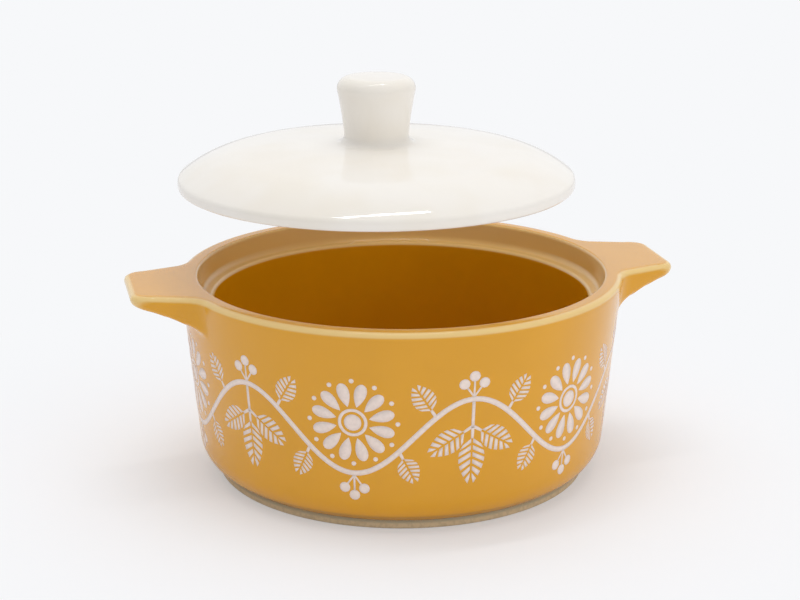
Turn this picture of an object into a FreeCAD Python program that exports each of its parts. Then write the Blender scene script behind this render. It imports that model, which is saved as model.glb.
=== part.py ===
"""Covered casserole dish, miniature: a glazed dish with two lug handles, and a lid with a knob.

Millimetres, +Z up. The origin is the centre of the foot ring's underside, and the handles
lie along X. The lid is drawn lifted off, a little to one side of its seat.
"""
import FreeCAD, Part
import math
import os

Vector = FreeCAD.Vector

# Dish, outside
dish_height = 33.0
rim_outer_radius = 36.0
body_taper = 3.1
body_corner_radius = 5.8
underside_height = 0.7
rim_outer_round = 1.0
rim_inner_round = 0.6

# Foot ring
foot_inset = 2.5
foot_width = 2.7
foot_round = 0.4
foot_root_height = 3.4
foot_recess = 1.0

# Seat for the lid, inside the rim
rim_width = 2.9
step_depth = 3.8
step_draft = 0.4
step_corner_round = 1.0
ledge_width = 2.2
ledge_lip_round = 0.7

# Well below the seat
well_taper = 0.9
well_corner_radius = 5.5
floor_thickness = 3.0

# Lug handles
handle_length = 8.6
handle_tip_width = 14.6
handle_rim_width = 20.2
handle_tip_corner = 2.6
handle_tip_thickness = 1.8
handle_tip_slope = 0.2
handle_rim_thickness = 4.6
handle_root_depth = 1.3
handle_side_sweep = 4.5
handle_underside_round = 0.7

# Lid
lid_side_clearance = 0.8
lid_crown_height = 6.9
lid_crown_radius = 190.0
lid_shoulder_radius = 18.0
lid_edge_round = 1.1
lid_rest_round = 0.5
lid_rest_width = 2.6
lid_hollow_depth = 3.2
lid_hollow_shoulder_drop = 0.9
lid_hollow_shoulder_inset = 2.6
lid_hollow_shoulder_round = 6.0
seat_gap = 0.1

# Knob on the lid
knob_height = 10.5
knob_top_radius = 6.3
knob_base_radius = 5.2
knob_top_round = 1.9
knob_base_fillet = 1.4

# Where the lid is held, counted from its seat
lid_lift = 17.8
lid_shift_x = -3.86
lid_shift_y = 0.89

# Radii and heights that follow from the sizes above
body_base_radius = rim_outer_radius - body_taper
foot_radius = body_base_radius - foot_inset
rim_inner_radius = rim_outer_radius - rim_width
step_radius = rim_inner_radius - step_draft
ledge_lip_radius = step_radius - ledge_width
well_floor_radius = ledge_lip_radius - well_taper
handle_reach = rim_outer_radius + handle_length
lid_radius = step_radius - lid_side_clearance
ledge_height = dish_height - step_depth
floor_height = foot_recess + floor_thickness
lid_height = ledge_height + seat_gap + lid_lift

Z_AXIS = Vector(0, 0, 1)
ORIGIN = Vector(0, 0, 0)

# Used to pick edges for rounding
smooth_angle = math.radians(10)
flat_tolerance = 0.01


def rounded_edges(corners, closed=True):
    """Edges along corners given as (x, z, radius), each corner rounded by its own radius."""
    count = len(corners)
    points = [Vector(x, 0, z) for x, z, _ in corners]
    ends = []
    edges = []
    for index, (_, _, radius) in enumerate(corners):
        here = points[index]
        before = (points[index - 1] - here).normalize()
        after = (points[(index + 1) % count] - here).normalize()
        if radius == 0:
            ends.append((here, here))
            continue
        half_turn = before.getAngle(after) / 2
        tangent = radius / math.tan(half_turn)
        start = here + before * tangent
        end = here + after * tangent
        inward = (before + after).normalize()
        middle = here + inward * (radius / math.sin(half_turn) - radius)
        edges.append((index, Part.Arc(start, middle, end).toShape()))
        ends.append((start, end))
    last = count if closed else count - 1
    for index in range(last):
        start = ends[index][1]
        end = ends[(index + 1) % count][0]
        edges.append((index + 0.5, Part.LineSegment(start, end).toShape()))
    return [edge for _, edge in sorted(edges, key=lambda pair: pair[0])]


def turned(edges):
    """Solid of a closed outline in the XZ plane, turned about the Z axis."""
    face = Part.Face(Part.Wire(Part.__sortEdges__(edges)))
    solid = face.revolve(ORIGIN, Z_AXIS, 360)
    return Part.Solid(solid.Shells[0]) if solid.ShapeType != "Solid" else solid


def dish_shell():
    """Wall, rim, lid seat, well and floor in one turned shape, its rim's outer edge still sharp."""
    corners = [
        (0, underside_height, 0),
        (body_base_radius, underside_height, body_corner_radius),
        (rim_outer_radius, dish_height, 0),
        (rim_inner_radius, dish_height, rim_inner_round),
        (step_radius, ledge_height, step_corner_round),
        (ledge_lip_radius, ledge_height, ledge_lip_round),
        (well_floor_radius, floor_height, well_corner_radius),
        (0, floor_height, 0),
    ]
    return turned(rounded_edges(corners))


def foot_ring():
    """Bare ring that the dish stands on, reaching up into the rounded corner of the body."""
    inner_radius = foot_radius - foot_width
    corners = [
        (inner_radius, 0, foot_round),
        (foot_radius, 0, foot_round),
        (foot_radius, foot_root_height, 0),
        (inner_radius, foot_root_height, 0),
    ]
    return turned(rounded_edges(corners))


def underside_recess():
    """Shallow recess inside the foot ring."""
    return Part.makeCylinder(foot_radius - foot_width, foot_recess)


def handle_outline():
    """Outline from above: a tab that tapers to a tip with rounded corners, rooted in the wall."""
    tip_side = Vector(handle_reach, handle_tip_width / 2, 0)
    rim_side = Vector(rim_outer_radius, handle_rim_width / 2, 0)
    inward = (rim_side - tip_side).normalize()
    across_tip = Vector(0, -1, 0)
    half_turn = across_tip.getAngle(inward) / 2
    tangent = handle_tip_corner / math.tan(half_turn)
    stand_off = handle_tip_corner / math.sin(half_turn) - handle_tip_corner
    corner_start = tip_side + across_tip * tangent
    corner_end = tip_side + inward * tangent
    corner_middle = tip_side + (across_tip + inward).normalize() * stand_off
    root_radius = rim_outer_radius - handle_root_depth
    nearest = -rim_side.dot(inward)
    beyond = rim_side.dot(rim_side) - root_radius ** 2
    root_side = rim_side + inward * (nearest - math.sqrt(nearest ** 2 - beyond))
    root_middle = Vector(root_radius, 0, 0)

    def mirrored(point):
        return Vector(point.x, -point.y, point.z)

    curves = [
        Part.LineSegment(mirrored(corner_start), corner_start),
        Part.Arc(corner_start, corner_middle, corner_end),
        Part.LineSegment(corner_end, root_side),
        Part.Arc(root_side, root_middle, mirrored(root_side)),
        Part.LineSegment(mirrored(root_side), mirrored(corner_end)),
        Part.Arc(mirrored(corner_end), mirrored(corner_middle), mirrored(corner_start)),
    ]
    return Part.Wire([curve.toShape() for curve in curves])


def handle():
    """Lug handle towards +X, flush with the rim, thinned to its tip by a hollow underside.

    The hollow is a round that starts at the tip with its own slope and ends under the rim.
    """
    rise = handle_rim_thickness - handle_tip_thickness
    steepness = math.hypot(1, handle_tip_slope)
    hollow_radius = math.hypot(handle_length, rise) ** 2 * steepness
    hollow_radius /= 2 * (rise - handle_length * handle_tip_slope)
    hollow_x = handle_reach + hollow_radius * handle_tip_slope / steepness
    hollow_z = dish_height - handle_tip_thickness - hollow_radius / steepness
    side = handle_rim_width
    block = Part.Face(handle_outline()).extrude(Vector(0, 0, dish_height - hollow_z))
    block.translate(Vector(0, 0, hollow_z))
    hollow = Part.makeCylinder(
        hollow_radius, 2 * side, Vector(hollow_x, -side, hollow_z), Vector(0, 1, 0)
    )
    return block.cut(hollow)


def middle_of(edge):
    return edge.valueAt((edge.FirstParameter + edge.LastParameter) / 2)


def faces_at(shape, edge):
    return shape.ancestorsOfType(edge, Part.Face)


def is_sharp(shape, edge):
    """True where the two faces at an edge don't run smoothly into each other."""
    faces = faces_at(shape, edge)
    if len(faces) != 2:
        return False
    normals = [face.normalAt(*face.Surface.parameter(middle_of(edge))) for face in faces]
    return normals[0].getAngle(normals[1]) > smooth_angle


def handle_side_joints(body):
    """Upright edges where the flat sides of the handles meet the tapered wall."""
    joints = []
    for edge in body.Edges:
        kinds = {type(face.Surface) for face in faces_at(body, edge)}
        upright = edge.BoundBox.ZLength > handle_tip_thickness
        if kinds == {Part.Cone, Part.Plane} and upright:
            joints.append(edge)
    return joints


def sharp_edges(body, on_top):
    """Edges still sharp outside the rim's flat, either along its top or below it."""
    found = []
    for edge in body.Edges:
        middle = middle_of(edge)
        outside = math.hypot(middle.x, middle.y) > rim_inner_radius + rim_inner_round
        along_top = edge.BoundBox.ZMin > dish_height - flat_tolerance
        if outside and along_top == on_top and is_sharp(body, edge):
            found.append(edge)
    return found


def dish():
    """Dish with its foot ring and both handles, one piece of clay with soft edges."""
    lug = handle()
    other_lug = lug.mirror(ORIGIN, Vector(1, 0, 0))
    body = dish_shell().fuse([lug, other_lug]).removeSplitter().Solids[0]
    body = body.makeFillet(handle_side_sweep, handle_side_joints(body))
    body = body.makeFillet(handle_underside_round, sharp_edges(body, on_top=False))
    body = body.makeFillet(rim_outer_round, sharp_edges(body, on_top=True))
    return body.fuse(foot_ring()).cut(underside_recess())


def circle_meeting(centre_a, radius_a, centre_b, radius_b):
    """Point at the given distances from two centres in the XZ plane, the one nearer the axis."""
    between = centre_b - centre_a
    distance = between.Length
    share = (radius_a ** 2 - radius_b ** 2 + distance ** 2) / (2 * distance)
    height = math.sqrt(radius_a ** 2 - share ** 2)
    along = between.normalize()
    across = Vector(-along.z, 0, along.x)
    return centre_a + along * share + across * height


def arc_about(centre, radius, start, end):
    """Short arc about a centre between two points that lie on it."""
    toward = ((start - centre) + (end - centre)).normalize()
    return Part.Arc(start, centre + toward * radius, end).toShape()


def lid():
    """Lid in one turned shape: a domed cap with its knob, a flat rest and a shallow hollow.

    Its rest face is at height zero.
    """
    crown_centre = Vector(0, 0, lid_crown_height - lid_crown_radius)
    edge_centre = Vector(lid_radius - lid_edge_round, 0, lid_edge_round)
    shoulder_centre = circle_meeting(
        crown_centre,
        lid_crown_radius - lid_shoulder_radius,
        edge_centre,
        lid_shoulder_radius - lid_edge_round,
    )
    crown_out = (shoulder_centre - crown_centre).normalize()
    edge_out = (edge_centre - shoulder_centre).normalize()
    crown_end = crown_centre + crown_out * lid_crown_radius
    shoulder_end = shoulder_centre + edge_out * lid_shoulder_radius
    edge_side = Vector(lid_radius, 0, lid_edge_round)

    knob_reach = math.sqrt(lid_crown_radius ** 2 - knob_base_radius ** 2)
    knob_base = crown_centre + Vector(knob_base_radius, 0, knob_reach)
    top = lid_crown_height + knob_height
    knob_edge = Vector(knob_top_radius, 0, top)
    upper = [
        Part.LineSegment(Vector(0, 0, lid_hollow_depth), Vector(0, 0, top)).toShape(),
        Part.LineSegment(Vector(0, 0, top), knob_edge).toShape(),
        Part.LineSegment(knob_edge, knob_base).toShape(),
        arc_about(crown_centre, lid_crown_radius, knob_base, crown_end),
        arc_about(shoulder_centre, lid_shoulder_radius, crown_end, shoulder_end),
        arc_about(edge_centre, lid_edge_round, shoulder_end, edge_side),
    ]
    rest_inner = lid_radius - lid_rest_width
    hollow_shoulder = rest_inner - lid_hollow_shoulder_inset
    lower = rounded_edges(
        [
            (lid_radius, lid_edge_round, 0),
            (lid_radius, 0, lid_rest_round),
            (rest_inner, 0, lid_rest_round),
            (hollow_shoulder, lid_hollow_depth - lid_hollow_shoulder_drop, lid_hollow_shoulder_round),
            (0, lid_hollow_depth, 0),
        ],
        closed=False,
    )
    whole = turned(upper + lower)
    joins = [edge for edge in whole.Edges if is_sharp(whole, edge) and edge.BoundBox.ZMax < top]
    whole = whole.makeFillet(knob_base_fillet, joins)
    edges = [edge for edge in whole.Edges if edge.BoundBox.ZMin > top - flat_tolerance]
    return whole.makeFillet(knob_top_round, edges)


def write(name, shape):
    """Save one sub-part, after a check that it is a single sound solid."""
    if not shape.isValid() or len(shape.Solids) != 1:
        raise ValueError(name + " is not one sound solid")
    solid = shape.Solids[0]
    solid.exportStep(os.path.join("parts", name + ".step"))
    box = solid.optimalBoundingBox(False, False)
    print(name, "volume", round(solid.Volume), "size", round(box.XLength, 2),
          round(box.YLength, 2), round(box.ZLength, 2))


os.makedirs("parts", exist_ok=True)
held_lid = lid()
held_lid.translate(Vector(lid_shift_x, lid_shift_y, lid_height))
write("dish", dish())
write("lid", held_lid)
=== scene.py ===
"""Covered casserole dish, miniature, in glazed ceramic.

A golden dish with two lug handles stands on a bare foot ring and carries a pale vine print.
Its white lid with a round knob is lifted off. Metres, +Z up, handles along X.
"""
import math

import bpy
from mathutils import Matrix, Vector


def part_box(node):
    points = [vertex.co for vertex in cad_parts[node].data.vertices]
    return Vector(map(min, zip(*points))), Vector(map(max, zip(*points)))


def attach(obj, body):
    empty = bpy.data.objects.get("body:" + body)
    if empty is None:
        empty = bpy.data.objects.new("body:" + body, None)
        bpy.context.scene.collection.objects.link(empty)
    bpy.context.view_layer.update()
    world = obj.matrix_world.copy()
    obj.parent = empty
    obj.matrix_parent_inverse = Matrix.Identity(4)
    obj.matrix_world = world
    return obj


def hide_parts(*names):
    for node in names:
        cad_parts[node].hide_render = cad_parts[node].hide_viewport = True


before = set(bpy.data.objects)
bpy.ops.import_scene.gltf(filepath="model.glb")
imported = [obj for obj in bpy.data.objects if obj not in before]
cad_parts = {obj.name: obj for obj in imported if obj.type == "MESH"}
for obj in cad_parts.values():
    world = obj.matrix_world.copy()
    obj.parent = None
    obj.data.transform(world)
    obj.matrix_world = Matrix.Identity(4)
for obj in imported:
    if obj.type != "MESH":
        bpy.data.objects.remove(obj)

bl_info = {
    "name": "Covered casserole dish",
    "version": (1, 0, 0),
    "blender": (4, 5, 0),
    "location": "View3D > Sidebar > Casserole",
    "description": "Builds a glazed dish with lug handles, its foot ring, its print and its lid",
    "category": "Object",
}

MM = 0.001
# Sides of a turned shape
SIDES = 192
DISH_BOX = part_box("dish")
LID_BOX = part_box("lid")


def linear(hex_colour):
    """Linear red, green and blue of an sRGB hex colour."""
    channels = [int(hex_colour[i:i + 2], 16) / 255 for i in (1, 3, 5)]
    return tuple(c / 12.92 if c <= 0.04045 else ((c + 0.055) / 1.055) ** 2.4 for c in channels)


def length(name, description, default):
    return bpy.props.FloatProperty(
        name=name, description=description, default=default * MM, unit="LENGTH", precision=4
    )


def colour(name, description, hex_colour):
    return bpy.props.FloatVectorProperty(
        name=name, description=description, subtype="COLOR", size=3, min=0, max=1,
        default=linear(hex_colour),
    )


class DishSettings(bpy.types.PropertyGroup):
    height: bpy.props.FloatProperty(
        name="Height", description="Table to rim", default=DISH_BOX[1].z, unit="LENGTH"
    )
    rim_radius: length("Rim radius", "Outside of the rim between the handles", 36.0)
    rim_width: length("Rim width", "Flat of the rim, out to its outer edge", 2.9)
    base_radius: length("Base radius", "Outside of the wall, carried down to the base", 32.9)
    corner_radius: length("Base corner", "Rounding between wall and base", 5.8)
    handle_reach: bpy.props.FloatProperty(
        name="Handle reach", description="Middle of the dish to a handle's tip",
        default=DISH_BOX[1].x, unit="LENGTH",
    )
    handle_tip_width: length("Handle tip width", "Width of a handle at its tip", 14.6)
    handle_root_width: length("Handle root width", "Width of a handle at the rim", 20.2)
    gold: colour("Gold glaze", "Body of the glaze", "#E1A00C")
    # Also tints the whole seat as painted light, for the room's reflection in it
    thin_gold_and_sheen: colour("Thin glaze", "Where the glaze runs thin over an edge", "#F0D08E")
    pooled_gold: colour("Pooled glaze", "Where the glaze gathers in a corner", "#B9800A")


class FootSettings(bpy.types.PropertyGroup):
    radius: length("Foot radius", "Outside of the foot ring", 30.4)
    width: length("Foot width", "Width of the ring that stands on the table", 2.7)
    clay: colour("Clay", "Bare fired clay", "#D3BC98")
    # Painted shade: darkens the foot's top, where it tucks under the body
    shaded_clay: colour("Dark clay", "Painted shade on the foot's top, under the body", "#A59C84")


class LidSettings(bpy.types.PropertyGroup):
    radius: bpy.props.FloatProperty(
        name="Lid radius", description="Middle of the lid to its edge",
        default=(LID_BOX[1].x - LID_BOX[0].x) / 2, unit="LENGTH",
    )
    crown_height: length("Crown height", "Lid's rest to the top of its dome", 6.9)
    knob_height: length("Knob height", "Top of the dome to the top of the knob", 10.5)
    knob_top_radius: length("Knob top", "Radius of the knob near its top", 6.3)
    knob_base_radius: length("Knob base", "Radius of the knob where it leaves the dome", 5.2)
    held_at: bpy.props.FloatVectorProperty(
        name="Held at", description="Middle of the lid's rest face, as it is held",
        default=(
            (LID_BOX[0].x + LID_BOX[1].x) / 2, (LID_BOX[0].y + LID_BOX[1].y) / 2, LID_BOX[0].z,
        ),
        subtype="XYZ", unit="LENGTH",
    )
    white: colour("White glaze", "Body of the glaze", "#F6F1E9")
    cream: colour("Cream glaze", "Warmer patches in the glaze", "#F3ECE0")


class PrintSettings(bpy.types.PropertyGroup):
    repeats: bpy.props.IntProperty(
        name="Repeats", description="Times that the pattern goes round", default=6, min=3, max=12
    )
    middle: length("Middle of the band", "Table to the middle of the printed band", 16.2)
    thickness: length("Thickness", "How far the print stands out of the glaze", 0.02)
    turn: bpy.props.FloatProperty(
        name="Turn", description="Turn of the pattern round the dish",
        default=math.radians(-10), subtype="ANGLE",
    )
    ink: colour("Print", "Pale fired-on print", "#F3E2D8")


class StudioSettings(bpy.types.PropertyGroup):
    floor: colour("Floor", "Paper that the dish stands on", "#FAFAFC")
    backdrop: colour("Backdrop", "Far end of the paper", "#F7F8FA")
    focal: bpy.props.FloatProperty(
        name="Focal length", description="Camera lens", default=82.86, unit="CAMERA"
    )


# Shapes

def arc(centre, radius, start, end, count):
    """Points of an arc, ends included, its angles in degrees."""
    points = []
    for index in range(count + 1):
        angle = math.radians(start + (end - start) * index / count)
        points.append((centre[0] + radius * math.cos(angle), centre[1] + radius * math.sin(angle)))
    return points


def rounded(corners, step=1.5, turn=11.0):
    """Outline through corners (r, z, radius), with each corner rounded and runs divided.

    Gives points (r, z, bend), where bend swells to 1 on an outward edge and to -1 in a corner.
    """
    pieces = []
    for index, (x, z, radius) in enumerate(corners):
        here = Vector((x, z))
        if radius == 0 or index in (0, len(corners) - 1):
            pieces.append([(x, z, 0.0)])
            continue
        before = (Vector(corners[index - 1][:2]) - here).normalized()
        after = (Vector(corners[index + 1][:2]) - here).normalized()
        half = before.angle(after) / 2
        middle = here + (before + after).normalized() * (radius / math.sin(half))
        start = here + before * (radius / math.tan(half)) - middle
        sweep = math.pi - 2 * half
        side = 1 if before.x * after.y - before.y * after.x < 0 else -1
        count = max(3, round(math.degrees(sweep) / turn))
        bends = []
        for part in range(count + 1):
            angle = side * sweep * part / count
            turned = Vector((
                start.x * math.cos(angle) - start.y * math.sin(angle),
                start.x * math.sin(angle) + start.y * math.cos(angle),
            ))
            swell = math.sin(math.pi * (part + 0.5) / (count + 1))
            bends.append((middle.x + turned.x, middle.y + turned.y, side * swell))
        pieces.append(bends)
    points = list(pieces[0])
    for piece in pieces[1:]:
        start = points[-1]
        end = piece[0]
        run = math.hypot(end[0] - start[0], end[1] - start[1])
        count = max(1, round(run / step))
        for part in range(1, count):
            share = part / count
            points.append((
                start[0] + (end[0] - start[0]) * share, start[1] + (end[1] - start[1]) * share, 0.0
            ))
        points.extend(piece)
    return points


# Height of the wall's underside, and rounding of the rim's inner edge, in mm
UNDERSIDE = 0.7
RIM_ROUND = 0.6


def wall_lean(sizes):
    """How much the wall's radius grows with its height."""
    return (sizes.rim_radius - sizes.base_radius) / (sizes.height - UNDERSIDE * MM)


def wall_radius(sizes, z):
    """Outside radius of the wall at height z, both in mm."""
    return sizes.base_radius / MM + (z - UNDERSIDE) * wall_lean(sizes)


def rim_outline(sizes):
    """Columns round the dish, in mm: angle, reach, slant of the edge and share of bare wall.

    The outline is the rim's circle with a tapering tab on either side, swept into it.
    """
    rim = sizes.rim_radius / MM
    reach = sizes.handle_reach / MM
    tip = sizes.handle_tip_width / MM / 2
    root = sizes.handle_root_width / MM / 2
    tip_corner = 2.6
    sweep = 4.5
    straight = 16
    curved = 14
    side = Vector((rim - reach, root - tip)).normalized()
    outward = Vector((side.y, -side.x))
    half = Vector((0, -1)).angle(side) / 2
    corner = Vector((reach, tip))
    corner_middle = corner + (Vector((0, -1)) + side).normalized() * (tip_corner / math.sin(half))
    level = outward.dot(corner) + sweep
    along = math.sqrt((rim + sweep) ** 2 - level ** 2)
    sweep_middle = outward * level - side * along
    meets_rim = sweep_middle * (rim / (rim + sweep))
    quarter = []

    def add(point, normal, wall):
        radius = point.length
        quarter.append((math.atan2(point.y, point.x), radius, normal.dot(point) / radius, wall))

    front = corner_middle.y
    for index in range(straight):
        add(Vector((reach, front * index / straight)), Vector((1, 0)), 0.0)
    side_angle = math.atan2(outward.y, outward.x)
    for index in range(curved):
        angle = side_angle * index / curved
        normal = Vector((math.cos(angle), math.sin(angle)))
        add(corner_middle + normal * tip_corner, normal, 0.0)
    start = corner_middle + outward * tip_corner
    end = sweep_middle - outward * sweep
    for index in range(straight):
        add(start.lerp(end, index / straight), outward, 0.0)
    first = math.atan2(-outward.y, -outward.x)
    last = math.atan2(meets_rim.y - sweep_middle.y, meets_rim.x - sweep_middle.x)
    for index in range(curved):
        share = index / curved
        angle = first + (last - first) * share
        normal = -Vector((math.cos(angle), math.sin(angle)))
        add(sweep_middle - normal * sweep, normal, share * share * (3 - 2 * share))
    free = math.atan2(meets_rim.y, meets_rim.x)
    count = 48
    for index in range(count + 1):
        angle = free + (math.pi / 2 - free) * index / count
        quarter.append((angle, rim, 1.0, 1.0))
    columns = list(quarter)
    columns += [(math.pi - a, r, s, w) for a, r, s, w in reversed(quarter[1:-1])]
    half_turn = [(math.pi, *quarter[0][1:])]
    lower = [(-a, r, s, w) for a, r, s, w in reversed(columns[1:])]
    return columns + half_turn + lower


def outer_edge(column, sizes, start_height):
    """Section of wall, handle and rim in one column, from the wall to the rim's flat, in mm.

    Sharp corners are softened by averaging along the section, as glaze and sponge leave them.
    """
    angle, reach, slant, wall = column
    rim = sizes.rim_radius / MM
    top = sizes.height / MM
    tip_thickness = 1.8
    tip_slope = 0.2
    root_thickness = 4.6
    run = sizes.handle_reach / MM - rim
    rise = root_thickness - tip_thickness
    steepness = math.hypot(1, tip_slope)
    hollow_radius = (run * run + rise * rise) * steepness / (2 * (rise - run * tip_slope))
    hollow_x = sizes.handle_reach / MM + hollow_radius * tip_slope / steepness
    hollow_z = top - tip_thickness - hollow_radius / steepness

    def underside(radius):
        short = hollow_x - abs(radius * math.cos(angle))
        return hollow_z + math.sqrt(hollow_radius ** 2 - short ** 2)

    path = [(wall_radius(sizes, start_height), start_height)]
    if wall >= 1:
        path.append((rim, top))
    else:
        tries = 20
        parts = 24
        root = top - root_thickness
        for _ in range(tries):
            root_radius = wall_radius(sizes, root)
            root = underside(root_radius)
        root_radius = wall_radius(sizes, root)
        edge = underside(reach)
        for _ in range(tries):
            side_radius = reach - (rim - wall_radius(sizes, edge)) * wall
            edge = underside(side_radius)
        path.append((root_radius, root))
        for index in range(1, parts):
            radius = root_radius + (side_radius - root_radius) * index / parts
            path.append((radius, underside(radius)))
        path += [(side_radius, edge), (reach, top)]
    path.append((rim - sizes.rim_width / MM + RIM_ROUND, top))
    flat = [((reach - r) * slant, z) for r, z in path]

    fine = []
    pitch = 0.06
    softened = 1.12
    for (ax, az), (bx, bz) in zip(flat, flat[1:]):
        run = math.hypot(bx - ax, bz - az)
        count = max(1, round(run / pitch))
        for index in range(count):
            fine.append((ax + (bx - ax) * index / count, az + (bz - az) * index / count))
    fine.append(flat[-1])
    window = round(softened / pitch)
    soft = []
    for index in range(len(fine)):
        reach_in = min(window, index, len(fine) - 1 - index)
        part = fine[index - reach_in:index + reach_in + 1]
        soft.append((sum(p[0] for p in part) / len(part), sum(p[1] for p in part) / len(part)))

    bends = [0.0]
    for before, here, after in zip(soft, soft[1:], soft[2:]):
        in_x, in_z = here[0] - before[0], here[1] - before[1]
        out_x, out_z = after[0] - here[0], after[1] - here[1]
        turn = math.atan2(in_x * out_z - in_z * out_x, in_x * out_x + in_z * out_z)
        bends.append(-turn)
    bends.append(0.0)
    # Points end up closer together where the section turns
    longest = 1.25
    sharpest = math.radians(8)
    steps = [0.0] + [math.dist(a, b) for a, b in zip(soft, soft[1:])]
    measure = [0.0]
    for index in range(1, len(soft)):
        share = steps[index] / longest + abs(bends[index]) / sharpest
        measure.append(measure[-1] + share)
    count = 60
    spread = 8
    section = []
    cursor = 0
    for index in range(count + 1):
        target = measure[-1] * index / count
        while cursor < len(measure) - 2 and measure[cursor + 1] < target:
            cursor += 1
        gap = measure[cursor + 1] - measure[cursor]
        share = 0.0 if gap == 0 else (target - measure[cursor]) / gap
        x = soft[cursor][0] + (soft[cursor + 1][0] - soft[cursor][0]) * share
        z = soft[cursor][1] + (soft[cursor + 1][1] - soft[cursor][1]) * share
        near = range(max(0, cursor - spread), min(len(soft), cursor + spread + 1))
        bend = sum(bends[i] for i in near) / max(sum(steps[i] for i in near), 0.001)
        section.append((reach - x / slant, z, bend))
    return section


def dish_sections(sizes):
    """Every column of the dish from the middle of its base over the rim to the well, in mm."""
    rim = sizes.rim_radius / MM
    top = sizes.height / MM
    start_height = 8.0
    recess_height = 1.0
    recess_radius = 28.6
    below = rounded(
        [
            (0, recess_height, 0),
            (recess_radius, recess_height, 0),
            (29.0, UNDERSIDE, 0),
            (sizes.base_radius / MM, UNDERSIDE, sizes.corner_radius / MM),
            (wall_radius(sizes, start_height), start_height, 0),
        ],
        step=3.0, turn=6.0,
    )[:-1]
    # The corner between recess and base is dropped, as the foot ring covers it
    covered_to = 29.2
    covered_below = 0.75
    below = [
        (r, z, 0.0) for r, z, _ in below
        if not (recess_radius < r < covered_to and z < covered_below)
    ]
    step_depth = 3.8
    step_draft = 0.4
    step_corner_round = 1.0
    ledge_width = 2.2
    lip_round = 0.7
    well_taper = 0.9
    well_corner_radius = 5.5
    floor_height = 4.0
    rim_inner = rim - sizes.rim_width / MM
    ledge = top - step_depth
    lip = rim_inner - step_draft - ledge_width
    inside = rounded(
        [
            (rim_inner + 1.0, top, 0),
            (rim_inner, top, RIM_ROUND),
            (rim_inner - step_draft, ledge, step_corner_round),
            (lip, ledge, lip_round),
            (lip - well_taper, floor_height, well_corner_radius),
            (0, floor_height, 0),
        ],
        step=1.6, turn=12.0,
    )[1:]
    inside = [p for p in inside if p[0] < rim_inner + RIM_ROUND or p[1] < top]
    # Painted light: the whole seat is tinted pale for the bright room's reflection in it,
    # its edges paler still where the glaze runs thin
    seat_painted_sheen = 0.8
    seat_edge_tint = 0.9
    edge_tint = 0.6

    def tint(z, bend):
        if ledge - 0.5 < z < top - 0.1:
            return max(bend * seat_edge_tint, seat_painted_sheen)
        return max(bend * edge_tint, 0.0)

    inside = [(r, z, tint(z, bend)) for r, z, bend in inside]
    sections = []
    for column in rim_outline(sizes):
        outer = outer_edge(column, sizes, start_height)
        sections.append((column[0], below + outer + inside))
    return sections


def dish_mesh(sizes):
    """Closed mesh of the dish, with an attribute for the bend of its edges and corners, set high
    all over the seat as painted light.
    """
    sections = dish_sections(sizes)
    vertices = []
    bends = []
    rows = len(sections[0][1])
    first = sections[0][1]
    for angle, section in sections:
        for radius, z, bend in section[1:-1]:
            vertices.append((
                radius * math.cos(angle) * MM, radius * math.sin(angle) * MM, z * MM
            ))
            bends.append(bend)
    inner_rows = rows - 2
    columns = len(sections)
    bottom = len(vertices)
    vertices.append((0, 0, first[0][1] * MM))
    floor = len(vertices)
    vertices.append((0, 0, first[-1][1] * MM))
    bends += [0.0, 0.0]
    faces = []
    for column in range(columns):
        here = column * inner_rows
        after = (column + 1) % columns * inner_rows
        faces.append((bottom, after, here))
        faces.append((floor, here + inner_rows - 1, after + inner_rows - 1))
        for row in range(inner_rows - 1):
            faces.append((here + row, after + row, after + row + 1, here + row + 1))
    mesh = bpy.data.meshes.new("glazed_dish")
    mesh.from_pydata(vertices, [], faces)
    mesh.attributes.new("bend_and_seat_sheen", "FLOAT", "POINT").data.foreach_set("value", bends)
    mesh.shade_smooth()
    mesh.validate()
    return mesh


def ring_mesh(name, outline, sides):
    """Closed mesh of an outline (r, z) in mm, turned round the upright axis."""
    vertices = []
    for side in range(sides):
        angle = 2 * math.pi * side / sides
        for radius, z in outline:
            vertices.append((
                radius * math.cos(angle) * MM, radius * math.sin(angle) * MM, z * MM
            ))
    rows = len(outline)
    faces = []
    for side in range(sides):
        here = side * rows
        after = (side + 1) % sides * rows
        for row in range(rows):
            above = (row + 1) % rows
            faces.append((here + row, after + row, after + above, here + above))
    mesh = bpy.data.meshes.new(name)
    mesh.from_pydata(vertices, [], faces)
    mesh.shade_smooth()
    return mesh


def foot_outline(settings):
    """Closed outline (r, z) of the foot ring, in mm."""
    outer = settings.radius / MM
    inner = outer - settings.width / MM
    soft = 0.4
    bevel = 0.6
    top = 2.2
    outline = arc((inner + soft, soft), soft, 180, 270, 5)
    outline += arc((outer - soft, soft), soft, 270, 360, 5)
    outline += [(outer, 1.0), (outer, 1.9), (outer - bevel, top)]
    outline += [(inner + bevel, top), (inner, 1.6)]
    return outline


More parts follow.
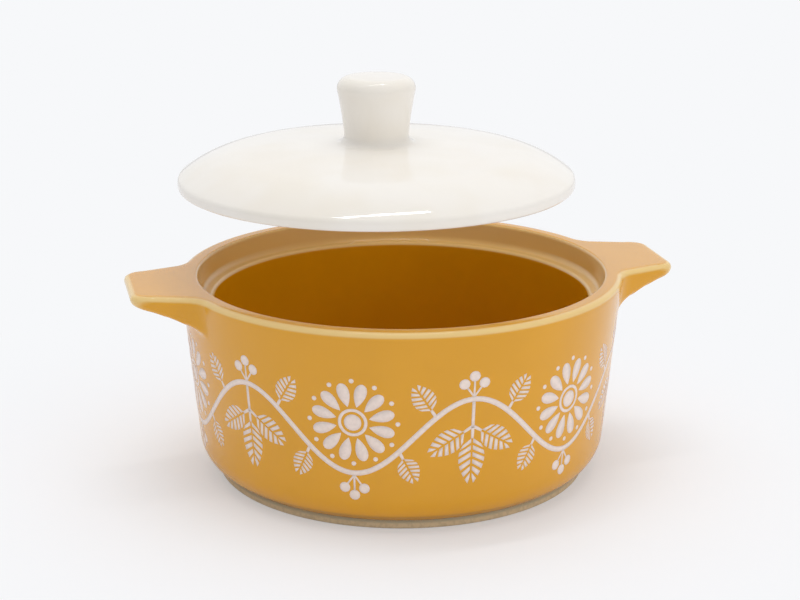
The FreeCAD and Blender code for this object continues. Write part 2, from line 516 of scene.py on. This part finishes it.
def lid_outline(settings):
    """Outline (r, z) of the lid from the middle of its hollow to the top of its knob, in mm."""
    radius = settings.radius / MM
    crown = settings.crown_height / MM
    crown_radius = 190.0
    shoulder_radius = 18.0
    edge_round = 1.1
    edge_middle = Vector((radius - edge_round, edge_round))
    crown_middle = Vector((0, crown - crown_radius))
    near = crown_radius - shoulder_radius
    far = shoulder_radius - edge_round
    between = edge_middle - crown_middle
    share = (near ** 2 - far ** 2 + between.length ** 2) / (2 * between.length)
    aside = math.sqrt(near ** 2 - share ** 2)
    unit = between.normalized()
    shoulder_middle = crown_middle + unit * share + Vector((-unit.y, unit.x)) * aside
    crown_end = math.degrees(math.atan2(*reversed(shoulder_middle - crown_middle)))
    shoulder_end = math.degrees(math.atan2(*reversed(edge_middle - shoulder_middle)))
    rest_inner = radius - 2.6
    rest_round = 0.5
    hollow_depth = 3.2
    hollow_edge = 2.3
    hollow_inset = 2.6
    hollow_round = 6.0
    below = rounded(
        [
            (0, hollow_depth, 0),
            (rest_inner - hollow_inset, hollow_edge, hollow_round),
            (rest_inner, 0, rest_round),
            (radius, 0, rest_round),
            (radius, edge_round, 0),
        ],
        step=2.0, turn=10.0,
    )
    outline = [(r, z) for r, z, _ in below]
    outline += arc(edge_middle, edge_round, 0, shoulder_end, 9)[1:]
    outline += arc(shoulder_middle, shoulder_radius, shoulder_end, crown_end, 14)[1:]

    base = settings.knob_base_radius / MM
    widest = settings.knob_top_radius / MM
    top = crown + settings.knob_height / MM
    fillet = 1.4
    foot = base + fillet
    start = outline[-1][0]
    parts = 14
    for index in range(1, parts + 1):
        reach = start + (foot - start) * index / parts
        outline.append((reach, crown - crown_radius + math.sqrt(crown_radius ** 2 - reach ** 2)))
    low = outline[-1][1]
    outline += arc((foot, low + fillet), fillet, 270, 180, 9)[1:]
    soft = 1.9
    parts = 8
    flare_start = low + fillet
    flare_end = top - soft
    for index in range(1, parts):
        share = index / parts
        z = flare_start + (flare_end - flare_start) * share
        outline.append((base + (widest - base) * share ** 1.3, z))
    outline += arc((widest - soft, top - soft), soft, 0, 90, 9)
    outline += [((widest - soft) * share, top) for share in (0.66, 0.33, 0.0)]
    return outline


# Print

# Length of a leaf's stem, as a share of the leaf
STEM = 0.22


class Pattern:
    """Flat shapes of the print, in mm, gathered into one mesh."""

    def __init__(self):
        self.vertices = []
        self.faces = []

    def strip(self, points, widths):
        """Ribbon along points, as wide at each point as widths say."""
        start = len(self.vertices)
        last = len(points) - 1
        for index, (x, y) in enumerate(points):
            ahead = points[min(index + 1, last)]
            behind = points[max(index - 1, 0)]
            run = Vector((ahead[0] - behind[0], ahead[1] - behind[1])).normalized()
            half = widths[index] / 2
            self.vertices.append((x - run.y * half, y + run.x * half))
            self.vertices.append((x + run.y * half, y - run.x * half))
        for index in range(last):
            here = start + 2 * index
            self.faces.append((here, here + 1, here + 3, here + 2))

    def disc(self, x, y, radius, sides=14):
        start = len(self.vertices)
        self.vertices.append((x, y))
        for side in range(sides):
            angle = 2 * math.pi * side / sides
            self.vertices.append((x + radius * math.cos(angle), y + radius * math.sin(angle)))
        for side in range(sides):
            self.faces.append((start, start + 1 + side, start + 1 + (side + 1) % sides))

    def ring(self, x, y, inner, outer, sides=48):
        start = len(self.vertices)
        for side in range(sides):
            angle = 2 * math.pi * side / sides
            for radius in (inner, outer):
                self.vertices.append((x + radius * math.cos(angle), y + radius * math.sin(angle)))
        for side in range(sides):
            here = start + 2 * side
            after = start + 2 * ((side + 1) % sides)
            self.faces.append((here, here + 1, after + 1, after))

    def drop(self, x, y, angle, inner, outer, width):
        """Teardrop that points to a middle, its round end outwards."""
        points = []
        widths = []
        count = 10
        for index in range(count + 1):
            share = index / count
            radius = inner + (outer - inner) * (1 - math.cos(share * math.pi)) / 2
            reach = (radius - inner) / (outer - inner)
            points.append((x + radius * math.cos(angle), y + radius * math.sin(angle)))
            widths.append(max(width * 2.1 * reach ** 0.9 * (1 - reach) ** 0.5, 0.03))
        self.strip(points, widths)

    def rosette(self, x, y, radius, petals):
        """Sun-like rosette: a disc, a ring, a wreath of drops and a dot between each two."""
        self.disc(x, y, radius * 0.19, 20)
        self.ring(x, y, radius * 0.25, radius * 0.32)
        width = 2 * math.pi * radius * 0.7 / petals * 0.86
        for petal in range(petals):
            angle = 2 * math.pi * (petal + 0.5) / petals
            self.drop(x, y, angle, radius * 0.37, radius * 0.92, width)
            between = angle + math.pi / petals
            self.disc(
                x + radius * 0.96 * math.cos(between), y + radius * 0.96 * math.sin(between),
                radius * 0.055, 8,
            )

    def leaf(self, x, y, angle, long, wide, barbs=6):
        """Leaf cut into slanted barbs on either side of a bare midrib, on a short stem."""
        along = Vector((math.cos(angle), math.sin(angle)))
        across = Vector((-along.y, along.x))
        origin = Vector((x, y))
        stem = [origin + along * long * s for s in (-STEM, -0.1, 0.02)]
        self.strip([tuple(p) for p in stem], [0.5, 0.5, 0.4])

        def edge(share):
            return wide / 2 * math.sin(math.pi * min(max(share, 0), 1) ** 0.8) ** 0.85

        gap = 0.16
        lean = 0.13
        barbed = 0.86
        for side in (1, -1):
            for barb in range(barbs):
                low = barbed * barb / barbs + 0.02
                high = barbed * (barb + 1) / barbs - 0.035
                quad = [
                    origin + along * long * share + across * side * (reach + gap)
                    for share, reach in (
                        (low, 0), (high, 0), (high + lean, edge(high + lean)),
                        (low + lean, edge(low + lean)),
                    )
                ]
                if side < 0:
                    quad.reverse()
                start = len(self.vertices)
                self.vertices += [tuple(p) for p in quad]
                self.faces.append(tuple(range(start, start + 4)))

    def berries(self, x, y, angle, size):
        """Three berries on short stalks."""
        for turn in (-0.62, 0.0, 0.62):
            reach = size * (3.1 if turn else 3.9)
            end = (x + reach * math.cos(angle + turn), y + reach * math.sin(angle + turn))
            short = 1 - 0.9 * size / reach
            neck = (x + (end[0] - x) * short, y + (end[1] - y) * short)
            self.strip([(x, y), neck], [0.3, 0.3])
            self.disc(end[0], end[1], size, 12)


def pattern_mesh(unit):
    """One repeat of the print, flat, as long as unit in mm: a vine that swings up and down, with a
    rosette in its upper bay, a spray of leaves in its lower one and leaves and berries between."""
    drawn = Pattern()
    rise = 5.9
    steps = 84
    vine_width = 0.85
    berry = 0.85

    def vine(x):
        return rise * math.sin(2 * math.pi * x / unit)

    def twig(x, angle, long, wide):
        angle = math.radians(angle)
        clear = STEM * long + 0.3
        drawn.leaf(
            x + clear * math.cos(angle), vine(x) + clear * math.sin(angle), angle, long, wide
        )

    points = [(unit * i / steps, vine(unit * i / steps)) for i in range(steps + 1)]
    drawn.strip(points, [vine_width] * len(points))
    low = unit * 0.75
    high = unit * 0.25
    drawn.rosette(low, 2.4, 7.0, 12)
    for x, angle in ((low, -90), (high, 90)):
        side = math.copysign(1, angle)
        drawn.berries(x, side * (rise + 0.35), math.radians(angle), berry)
    drawn.strip([(high, rise - 0.35), (high, 1.2)], [0.5, 0.5])
    for angle, long, wide in ((-148, 6.6, 3.6), (-90, 8.0, 3.9), (-32, 6.6, 3.6)):
        turn = math.radians(angle)
        reach = STEM * long + 0.1
        drawn.leaf(
            high + reach * math.cos(turn), 1.5 + reach * math.sin(turn), turn, long, wide
        )
    for away in (5.6, -5.6):
        twig(high + away, 90 - math.copysign(32, away), 5.0, 3.2)
    for away in (6.9, -6.9):
        twig(low + away, -90 + math.copysign(26, away), 4.6, 3.0)
    mesh = bpy.data.meshes.new("print_unit")
    mesh.from_pydata([(x * MM, y * MM, 0) for x, y in drawn.vertices], [], drawn.faces)
    return mesh


# Node helpers

def add_node(tree, kind, settings=None, links=None):
    """Adds a node, sets its properties and sockets, and links its inputs.

    Keys of links and of whole-number settings are socket names or numbers.
    """
    node = tree.nodes.new(kind)
    for key, value in (settings or {}).items():
        if isinstance(key, str) and hasattr(node, key):
            setattr(node, key, value)
        else:
            node.inputs[key].default_value = value
    for key, source in (links or {}).items():
        tree.links.new(source, node.inputs[key])
    return node


def feed(tree, socket, value):
    """Links a socket to another one, or sets it to a value."""
    if isinstance(value, bpy.types.NodeSocket):
        tree.links.new(value, socket)
    else:
        socket.default_value = value


def maths(tree, operation, *values):
    """Output of a maths node whose values are numbers or sockets."""
    node = add_node(tree, "ShaderNodeMath", {"operation": operation})
    for socket, value in zip(node.inputs, values):
        feed(tree, socket, value)
    return node.outputs[0]


def weld(tree, geometry):
    """Geometry whose points within a thousandth of a millimetre of each other are joined."""
    return add_node(tree, "GeometryNodeMergeByDistance", {"Distance": 0.001 * MM}, {
        "Geometry": geometry,
    }).outputs[0]


def hand_over(tree, geometry, material):
    """Ends a tree with plain geometry that has its material."""
    solid = add_node(tree, "GeometryNodeRealizeInstances", None, {0: geometry})
    painted = add_node(tree, "GeometryNodeSetMaterial", None, {
        "Geometry": solid.outputs[0], "Material": material,
    })
    add_node(tree, "NodeGroupOutput", None, {0: painted.outputs[0]})
    return tree


def new_tree(name, inputs):
    """Geometry tree with a mesh in, a mesh out and the named inputs between."""
    tree = bpy.data.node_groups.new(name, "GeometryNodeTree")
    tree.interface.new_socket("Geometry", in_out="INPUT", socket_type="NodeSocketGeometry")
    tree.interface.new_socket("Geometry", in_out="OUTPUT", socket_type="NodeSocketGeometry")
    for label, kind in inputs:
        tree.interface.new_socket(label, in_out="INPUT", socket_type=kind)
    return tree


def grow(name, mesh, tree, values):
    """Plain mesh object that a geometry tree makes from a mesh and its input values."""
    seed = bpy.data.objects.new(name + "_seed", mesh)
    bpy.context.scene.collection.objects.link(seed)
    modifier = seed.modifiers.new("grow", "NODES")
    modifier.node_group = tree
    for item in tree.interface.items_tree:
        if item.in_out == "INPUT" and item.name in values:
            modifier[item.identifier] = values[item.name]
    graph = bpy.context.evaluated_depsgraph_get()
    grown = bpy.data.meshes.new_from_object(seed.evaluated_get(graph))
    grown.name = name
    seed.modifiers.remove(modifier)
    bpy.data.objects.remove(seed)
    return place(name, grown)


def place(name, mesh):
    """New object for a finished mesh, at the origin."""
    if not mesh.polygons:
        raise RuntimeError(name + " came out empty")
    piece = bpy.data.objects.new(name, mesh)
    bpy.context.scene.collection.objects.link(piece)
    return piece


def turned_tree():
    """Tree that turns an outline, whose points hold radius and height, into a closed shape."""
    tree = new_tree("turned_shape", [
        ("Sides", "NodeSocketInt"),
        ("Rows", "NodeSocketInt"),
        ("Centre", "NodeSocketVector"),
        ("Material", "NodeSocketMaterial"),
    ])
    given = add_node(tree, "NodeGroupInput").outputs
    grid = add_node(tree, "GeometryNodeMeshGrid", None, {
        "Vertices X": maths(tree, "ADD", given["Sides"], 1.0), "Vertices Y": given["Rows"],
    })
    index = add_node(tree, "GeometryNodeInputIndex").outputs[0]
    row = maths(tree, "MODULO", index, given["Rows"])
    column = maths(tree, "FLOOR", maths(tree, "DIVIDE", index, given["Rows"]))
    angle = maths(tree, "MULTIPLY", maths(tree, "DIVIDE", column, given["Sides"]), 2 * math.pi)
    outline_at = add_node(tree, "GeometryNodeInputPosition")
    sample = add_node(tree, "GeometryNodeSampleIndex", {"data_type": "FLOAT_VECTOR"}, {
        "Geometry": given["Geometry"], "Value": outline_at.outputs[0], "Index": row,
    })
    outline = add_node(tree, "ShaderNodeSeparateXYZ", None, {0: sample.outputs[0]}).outputs
    turned = add_node(tree, "ShaderNodeCombineXYZ", None, {
        0: maths(tree, "MULTIPLY", outline[0], maths(tree, "COSINE", angle)),
        1: maths(tree, "MULTIPLY", outline[0], maths(tree, "SINE", angle)),
        2: outline[2],
    })
    position = add_node(tree, "ShaderNodeVectorMath", {"operation": "ADD"}, {
        0: turned.outputs[0], 1: given["Centre"],
    })
    moved = add_node(tree, "GeometryNodeSetPosition", None, {
        "Geometry": grid.outputs["Mesh"], "Position": position.outputs[0],
    })
    smooth = add_node(tree, "GeometryNodeSetShadeSmooth", None, {
        0: weld(tree, moved.outputs[0]),
    })
    return hand_over(tree, smooth.outputs[0], given["Material"])


def band_tree():
    """Tree that repeats a flat pattern round a leaning wall and gives it a thickness."""
    tree = new_tree("wrapped_band", [
        ("Repeats", "NodeSocketInt"),
        ("Unit", "NodeSocketFloat"),
        ("Wall Radius", "NodeSocketFloat"),
        ("Wall Lean", "NodeSocketFloat"),
        ("Middle", "NodeSocketFloat"),
        ("Turn", "NodeSocketFloat"),
        ("Thickness", "NodeSocketFloat"),
        ("Sunk", "NodeSocketFloat"),
        ("Material", "NodeSocketMaterial"),
    ])
    given = add_node(tree, "NodeGroupInput").outputs
    step = add_node(tree, "ShaderNodeCombineXYZ", None, {0: given["Unit"]})
    line = add_node(tree, "GeometryNodeMeshLine", None, {
        "Count": given["Repeats"], "Offset": step.outputs[0],
    })
    copies = add_node(tree, "GeometryNodeInstanceOnPoints", None, {
        "Points": line.outputs[0], "Instance": given["Geometry"],
    })
    flat = add_node(tree, "GeometryNodeRealizeInstances", None, {0: copies.outputs[0]})
    finer = add_node(tree, "GeometryNodeSubdivideMesh", {"Level": 1}, {
        0: weld(tree, flat.outputs[0]),
    })
    raised = add_node(tree, "GeometryNodeExtrudeMesh", {"Individual": False}, {
        "Mesh": finer.outputs[0],
        "Offset Scale": maths(tree, "ADD", given["Thickness"], given["Sunk"]),
    })
    upper = add_node(tree, "GeometryNodeSetShadeSmooth", None, {
        0: raised.outputs["Mesh"], "Shade Smooth": raised.outputs["Top"],
    })
    back = add_node(tree, "GeometryNodeFlipFaces", None, {0: finer.outputs[0]})
    both = add_node(tree, "GeometryNodeJoinGeometry")
    tree.links.new(back.outputs[0], both.inputs[0])
    tree.links.new(upper.outputs[0], both.inputs[0])
    flat_place = add_node(tree, "ShaderNodeSeparateXYZ", None, {
        0: add_node(tree, "GeometryNodeInputPosition").outputs[0],
    }).outputs
    round_by = maths(tree, "DIVIDE", flat_place[0], given["Wall Radius"])
    angle = maths(tree, "ADD", round_by, given["Turn"])
    wall = maths(
        tree, "MULTIPLY_ADD", flat_place[1], given["Wall Lean"], given["Wall Radius"]
    )
    proud = maths(tree, "SUBTRACT", flat_place[2], given["Sunk"])
    radius = maths(tree, "ADD", wall, proud)
    inward = maths(tree, "MULTIPLY", radius, maths(tree, "COSINE", angle))
    position = add_node(tree, "ShaderNodeCombineXYZ", None, {
        0: maths(tree, "MULTIPLY", radius, maths(tree, "SINE", angle)),
        1: maths(tree, "MULTIPLY", inward, -1.0),
        2: maths(tree, "ADD", flat_place[1], given["Middle"]),
    })
    wrapped = add_node(tree, "GeometryNodeSetPosition", None, {
        "Geometry": weld(tree, both.outputs[0]), "Position": position.outputs[0],
    })
    return hand_over(tree, weld(tree, wrapped.outputs[0]), given["Material"])


# Materials

def new_material(name, settings):
    """Material with a principled shader, its constant values on the shader's own sockets."""
    material = bpy.data.materials.new(name)
    material.use_nodes = True
    tree = material.node_tree
    tree.nodes.clear()
    shader = add_node(tree, "ShaderNodeBsdfPrincipled", settings)
    add_node(tree, "ShaderNodeOutputMaterial", None, {"Surface": shader.outputs[0]})
    place_on = add_node(tree, "ShaderNodeTexCoord").outputs["Object"]
    return material, tree, shader, place_on


def noise(tree, place_on, size, detail=2.0):
    """Noise whose features are about size metres across."""
    return add_node(tree, "ShaderNodeTexNoise", {"Scale": 1 / size, "Detail": detail}, {
        "Vector": place_on,
    }).outputs[0]


def blend_colour(tree, factor, first, second):
    """Mix of two colours, each a linear colour or a socket."""
    mix = add_node(tree, "ShaderNodeMix", {"data_type": "RGBA"}, {0: factor})
    for socket, value in ((6, first), (7, second)):
        linked = isinstance(value, bpy.types.NodeSocket)
        feed(tree, mix.inputs[socket], value if linked else (*value, 1))
    return mix.outputs[2]


def span(tree, value, low, high, out_low=0.0, out_high=1.0):
    """Value brought from one range to another, held at its ends."""
    return add_node(tree, "ShaderNodeMapRange", {
        "interpolation_type": "SMOOTHSTEP",
        1: low, 2: high, 3: out_low, 4: out_high,
    }, {0: value}).outputs[0]


def bump(tree, shader, height, distance, strength=1.0):
    """Surface relief of a height field, with its full depth in metres."""
    relief = add_node(tree, "ShaderNodeBump", {"Distance": distance, "Strength": strength}, {
        "Height": height,
    })
    tree.links.new(relief.outputs[0], shader.inputs["Normal"])


def golden_glaze(settings):
    """Translucent iron-yellow glaze over pale clay, dipped: it goes pale where it runs thin over an
    edge, deepens where it gathers in a corner, and its skin is glossy and faintly uneven. The whole
    seat under the lid is painted pale as well, painted light for the bright room's reflection in
    it."""
    material, tree, shader, place_on = new_material("iron_yellow_glaze", {
        "Roughness": 0.17, "IOR": 1.5, "Coat Weight": 0.2, "Coat Roughness": 0.03,
    })
    bend = add_node(tree, "ShaderNodeAttribute", {"attribute_name": "bend_and_seat_sheen"}).outputs["Fac"]
    cloud = noise(tree, place_on, 11 * MM, 3.0)
    patch = span(tree, cloud, 0.35, 0.7, 0.0, 0.35)
    deep = tuple(g + (p - g) * 0.3 for g, p in zip(settings.gold, settings.pooled_gold))
    body = blend_colour(tree, patch, settings.gold, deep)
    # Pale where the glaze runs thin over an edge, and over the whole seat as painted light
    thin = span(tree, bend, 0.42, 1.0, 0.0, 0.92)
    edge = blend_colour(tree, thin, body, settings.thin_gold_and_sheen)
    height = add_node(tree, "ShaderNodeSeparateXYZ", None, {0: place_on}).outputs[2]
    corner = span(tree, bend, -0.2, -0.9, 0.0, 0.5)
    # Darker towards the bottom: below 3.1 mm, just above the foot, the body takes the pooled colour
    foot_line = span(tree, height, 3.1 * MM, 2.3 * MM, 0.0, 0.9)
    pool_and_low_band = maths(tree, "MAXIMUM", corner, foot_line)
    base = blend_colour(tree, pool_and_low_band, edge, settings.pooled_gold)
    tree.links.new(base, shader.inputs["Base Color"])
    # Orange peel about 2.2 mm across and 0.012 mm deep
    bump(tree, shader, noise(tree, place_on, 2.2 * MM), 0.012 * MM)
    return material


def white_glaze(settings):
    """Opaque tin-white glaze, poured: warm white, very glossy, with a faint roll in its skin
    that bends reflections."""
    material, tree, shader, place_on = new_material("tin_white_glaze", {
        "Roughness": 0.05, "IOR": 1.52,
    })
    cloud = noise(tree, place_on, 14 * MM, 2.0)
    patch = span(tree, cloud, 0.35, 0.7)
    tree.links.new(
        blend_colour(tree, patch, settings.white, settings.cream), shader.inputs["Base Color"]
    )
    # Slow roll about 7 mm across and 0.015 mm deep
    bump(tree, shader, noise(tree, place_on, 7 * MM), 0.015 * MM)
    return material


def bare_clay(settings):
    """Unglazed stoneware, sponged: matt and sandy, with painted shade on its top, where it tucks
    under the body.
    """
    material, tree, shader, place_on = new_material("bare_stoneware", {
        "Roughness": 0.85, "IOR": 1.45,
    })
    grain = noise(tree, place_on, 0.6 * MM, 4.0)
    speck = span(tree, grain, 0.45, 0.62)
    height = add_node(tree, "ShaderNodeSeparateXYZ", None, {0: place_on}).outputs[2]
    # Painted shade: the foot darkens from 0.7 mm up to its top, under the body's rounded base
    line = span(tree, height, 0.7 * MM, 1.3 * MM)
    body = blend_colour(tree, line, settings.clay, settings.shaded_clay)
    darker = tuple(c * 0.72 for c in settings.clay)
    weak = maths(tree, "MULTIPLY", speck, 0.5)
    tree.links.new(blend_colour(tree, weak, body, darker), shader.inputs["Base Color"])
    bump(tree, shader, grain, 0.05 * MM)
    return material


def fired_print(settings):
    """Silk-screened enamel, fired on: flat, pale and duller than the glaze round it, with the
    faint mottle of its mesh."""
    material, tree, shader, place_on = new_material("screened_enamel", {
        "Roughness": 0.3, "IOR": 1.5,
    })
    mottle = noise(tree, place_on, 0.5 * MM, 3.0)
    shade = span(tree, mottle, 0.35, 0.65)
    darker = tuple(c * 0.93 for c in settings.ink)
    tree.links.new(blend_colour(tree, shade, settings.ink, darker), shader.inputs["Base Color"])
    bump(tree, shader, mottle, 0.006 * MM)
    return material


def paper(settings):
    """Seamless studio paper: matt and warm near the dish, and evenly pale further off, where its
    surface can't be told from the backdrop."""
    material, tree, shader, place_on = new_material("studio_paper", {
        "Roughness": 0.9, "Specular IOR Level": 0.1, "Base Color": (*settings.floor, 1),
    })
    distance = add_node(tree, "ShaderNodeVectorMath", {"operation": "LENGTH"}, {0: place_on})
    far = span(tree, distance.outputs["Value"], 34 * MM, 105 * MM, 0.32, 1.0)
    seen = add_node(tree, "ShaderNodeLightPath").outputs["Is Camera Ray"]
    pale = maths(tree, "MULTIPLY", far, seen)
    glow = add_node(tree, "ShaderNodeEmission", {"Color": (*settings.backdrop, 1), "Strength": 1.0})
    either = add_node(tree, "ShaderNodeMixShader", None, {
        0: pale, 1: shader.outputs[0], 2: glow.outputs[0],
    })
    output = next(node for node in tree.nodes if node.type == "OUTPUT_MATERIAL")
    tree.links.new(either.outputs[0], output.inputs["Surface"])
    return material


# Operators

class CASSEROLE_OT_dish(bpy.types.Operator):
    """Build the golden dish with its handles, stepped rim and well"""
    bl_idname = "casserole.dish"
    bl_label = "Dish"

    def execute(self, context):
        settings = context.scene.casserole_dish
        dish = place("glazed_dish", dish_mesh(settings))
        dish.data.materials.append(golden_glaze(settings))
        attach(dish, "dish")
        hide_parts("dish")
        return {"FINISHED"}


class CASSEROLE_OT_foot(bpy.types.Operator):
    """Build the bare foot ring under the dish"""
    bl_idname = "casserole.foot"
    bl_label = "Foot ring"

    def execute(self, context):
        settings = context.scene.casserole_foot
        foot = place("foot_ring", ring_mesh("foot_ring", foot_outline(settings), SIDES))
        foot.data.materials.append(bare_clay(settings))
        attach(foot, "dish")
        return {"FINISHED"}


class CASSEROLE_OT_lid(bpy.types.Operator):
    """Build the domed lid with its round knob"""
    bl_idname = "casserole.lid"
    bl_label = "Lid"

    def execute(self, context):
        settings = context.scene.casserole_lid
        outline = lid_outline(settings)
        mesh = bpy.data.meshes.new("lid_outline")
        mesh.from_pydata([(radius * MM, 0, z * MM) for radius, z in outline], [], [])
        lid = grow("glazed_lid", mesh, turned_tree(), {
            "Sides": SIDES,
            "Rows": len(outline),
            "Centre": settings.held_at,
            "Material": white_glaze(settings),
        })
        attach(lid, "lid")
        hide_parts("lid")
        return {"FINISHED"}


class CASSEROLE_OT_print(bpy.types.Operator):
    """Build the pale vine print round the wall"""
    bl_idname = "casserole.vine_print"
    bl_label = "Print"

    def execute(self, context):
        settings = context.scene.casserole_print
        dish = context.scene.casserole_dish
        wall = wall_radius(dish, settings.middle / MM) * MM
        unit = 2 * math.pi * wall / settings.repeats
        band = grow("vine_print", pattern_mesh(unit / MM), band_tree(), {
            "Repeats": settings.repeats,
            "Unit": unit,
            "Wall Radius": wall,
            "Wall Lean": wall_lean(dish),
            "Middle": settings.middle,
            "Turn": settings.turn,
            "Thickness": settings.thickness,
            "Sunk": 0.06 * MM,
            "Material": fired_print(settings),
        })
        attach(band, "dish")
        return {"FINISHED"}


# Name, place, size, power in watts, and whether gloss mirrors it
LAMPS = (
    ("overhead", (0.0, 0.1, 0.8), (0.9, 0.9), 2.2, False),
    ("front", (0.6, -0.65, 0.26), (0.8, 0.5), 1.35, False),
    ("strip", (-0.005, 0.03, 0.7), (0.38, 0.025), 0.5, True),
)


class CASSEROLE_OT_studio(bpy.types.Operator):
    """Set up the paper floor, soft lamps and the camera"""
    bl_idname = "casserole.studio"
    bl_label = "Studio"

    def execute(self, context):
        settings = context.scene.casserole_studio
        floor_mesh = bpy.data.meshes.new("paper_floor")
        half = 3.0
        floor_mesh.from_pydata(
            [(-half, -half, 0), (half, -half, 0), (half, half, 0), (-half, half, 0)],
            [], [(0, 1, 2, 3)],
        )
        floor = place("paper_floor", floor_mesh)
        floor.data.materials.append(paper(settings))

        target = Vector((-0.0002, 0, 0.0275))
        camera_data = bpy.data.cameras.new("camera")
        camera_data.lens = settings.focal
        camera_data.clip_start = 0.01
        camera = bpy.data.objects.new("camera", camera_data)
        camera.location = (-0.0652, -0.2826, 0.1136)
        camera.rotation_euler = (target - camera.location).to_track_quat("-Z", "Y").to_euler()
        context.scene.collection.objects.link(camera)
        context.scene.camera = camera

        for name, place_at, size, power, mirrored in LAMPS:
            lamp_data = bpy.data.lights.new(name, "AREA")
            lamp_data.shape = "RECTANGLE"
            lamp_data.size, lamp_data.size_y = size
            lamp_data.energy = power
            lamp = bpy.data.objects.new(name, lamp_data)
            lamp.location = place_at
            lamp.rotation_euler = (target - lamp.location).to_track_quat("-Z", "Y").to_euler()
            lamp.visible_glossy = mirrored
            context.scene.collection.objects.link(lamp)

        world = bpy.data.worlds.new("soft_room")
        world.use_nodes = True
        tree = world.node_tree
        tree.nodes.clear()
        # Gloss mirrors a bright backdrop behind the dish and a dimmer room in front of it
        ahead = add_node(tree, "ShaderNodeTexCoord").outputs["Generated"]
        depth = add_node(tree, "ShaderNodeSeparateXYZ", None, {0: ahead}).outputs[1]
        mirrored = span(tree, depth, -0.1, 0.95, 0.3, 1.0)
        rays = add_node(tree, "ShaderNodeLightPath").outputs
        lit = add_node(tree, "ShaderNodeMapRange", {3: 0.66}, {
            0: rays["Is Glossy Ray"], 4: mirrored,
        })
        seen = add_node(tree, "ShaderNodeMapRange", {4: 1.0}, {
            0: rays["Is Camera Ray"], 3: lit.outputs[0],
        })
        room = add_node(tree, "ShaderNodeBackground", {"Color": (*settings.backdrop, 1)}, {
            "Strength": seen.outputs[0],
        })
        add_node(tree, "ShaderNodeOutputWorld", None, {"Surface": room.outputs[0]})
        context.scene.world = world
        context.scene.view_settings.view_transform = "Standard"
        return {"FINISHED"}


class CASSEROLE_PT_pieces(bpy.types.Panel):
    bl_idname = "CASSEROLE_PT_pieces"
    bl_label = "Casserole"
    bl_space_type = "VIEW_3D"
    bl_region_type = "UI"
    bl_category = "Casserole"

    def draw(self, context):
        for operator, settings in PIECES:
            self.layout.operator(operator.bl_idname)
            group = getattr(context.scene, settings)
            for name in group.__annotations__:
                self.layout.prop(group, name)


SETTINGS = {
    "casserole_dish": DishSettings,
    "casserole_foot": FootSettings,
    "casserole_lid": LidSettings,
    "casserole_print": PrintSettings,
    "casserole_studio": StudioSettings,
}

PIECES = (
    (CASSEROLE_OT_studio, "casserole_studio"),
    (CASSEROLE_OT_dish, "casserole_dish"),
    (CASSEROLE_OT_foot, "casserole_foot"),
    (CASSEROLE_OT_print, "casserole_print"),
    (CASSEROLE_OT_lid, "casserole_lid"),
)


def register():
    for name, group in SETTINGS.items():
        bpy.utils.register_class(group)
        setattr(bpy.types.Scene, name, bpy.props.PointerProperty(type=group))
    for operator, _ in PIECES:
        bpy.utils.register_class(operator)
    bpy.utils.register_class(CASSEROLE_PT_pieces)


def unregister():
    bpy.utils.unregister_class(CASSEROLE_PT_pieces)
    for operator, _ in PIECES:
        bpy.utils.unregister_class(operator)
    for name, group in SETTINGS.items():
        delattr(bpy.types.Scene, name)
        bpy.utils.unregister_class(group)


def corners(bounds):
    return [list(corner) for corner in bounds]


def main():
    register()
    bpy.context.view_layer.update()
    bpy.ops.casserole.studio()
    bpy.ops.casserole.dish()
    bpy.ops.casserole.foot()
    bpy.ops.casserole.vine_print()
    bpy.ops.casserole.lid()


if __name__ == "__main__":
    main()
